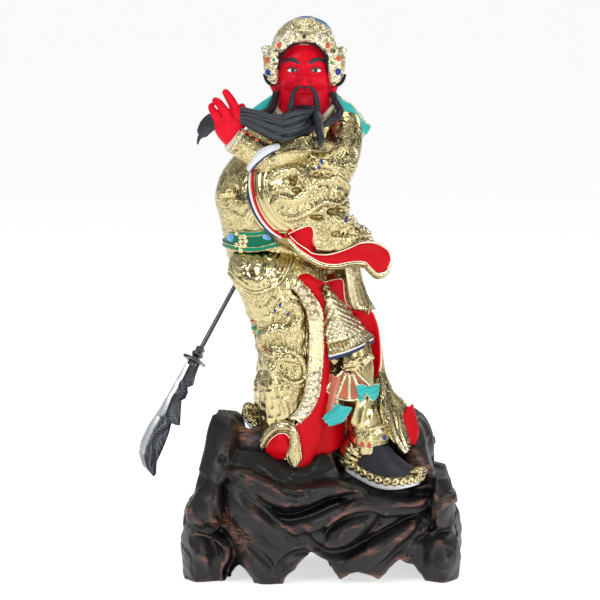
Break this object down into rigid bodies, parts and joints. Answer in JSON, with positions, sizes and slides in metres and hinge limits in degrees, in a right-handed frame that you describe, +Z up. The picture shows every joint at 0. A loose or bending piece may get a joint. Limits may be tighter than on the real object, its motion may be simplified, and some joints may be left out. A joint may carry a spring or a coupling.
{
  "type": "standing general statue with glaive on a root base",
  "caption": "Gilt and painted statue of a bearded, robed and armoured general, standing on a dark carved root and holding a glaive behind the hip.",
  "frame": {"origin": "centre of the statue's footprint box, on the surface that it stands on", "axes": "+Z up, the figure's front faces -Y, +X to the viewer's right"},
  "size_m": [0.3314, 0.188, 0.56],
  "materials": {
    "rock_wood": "dark carved root, satin, copper-brown on the worn ridges",
    "gilt": "bright pale gold plating, high gloss",
    "steel_rod": "dark polished steel",
    "gunmetal": "gunmetal with a lighter cutting edge",
    "skin_red": "semi-matte red paint on the face and hands",
    "beard_black": "satin slate black paint",
    "lining_red": "satin red paint on the robe's linings",
    "turquoise": "satin turquoise paint on the tied cloths",
    "belt_green": "satin green paint on the belt",
    "enamel_blue": "glossy blue enamel",
    "enamel_white": "white paint on trims and soles"
  },
  "bodies": {
    "root": {"root_base": "rock_wood", "general_figure": "gilt", "glaive_shaft": "steel_rod", "glaive_blade": "gunmetal"}
  },
  "joints": []
}
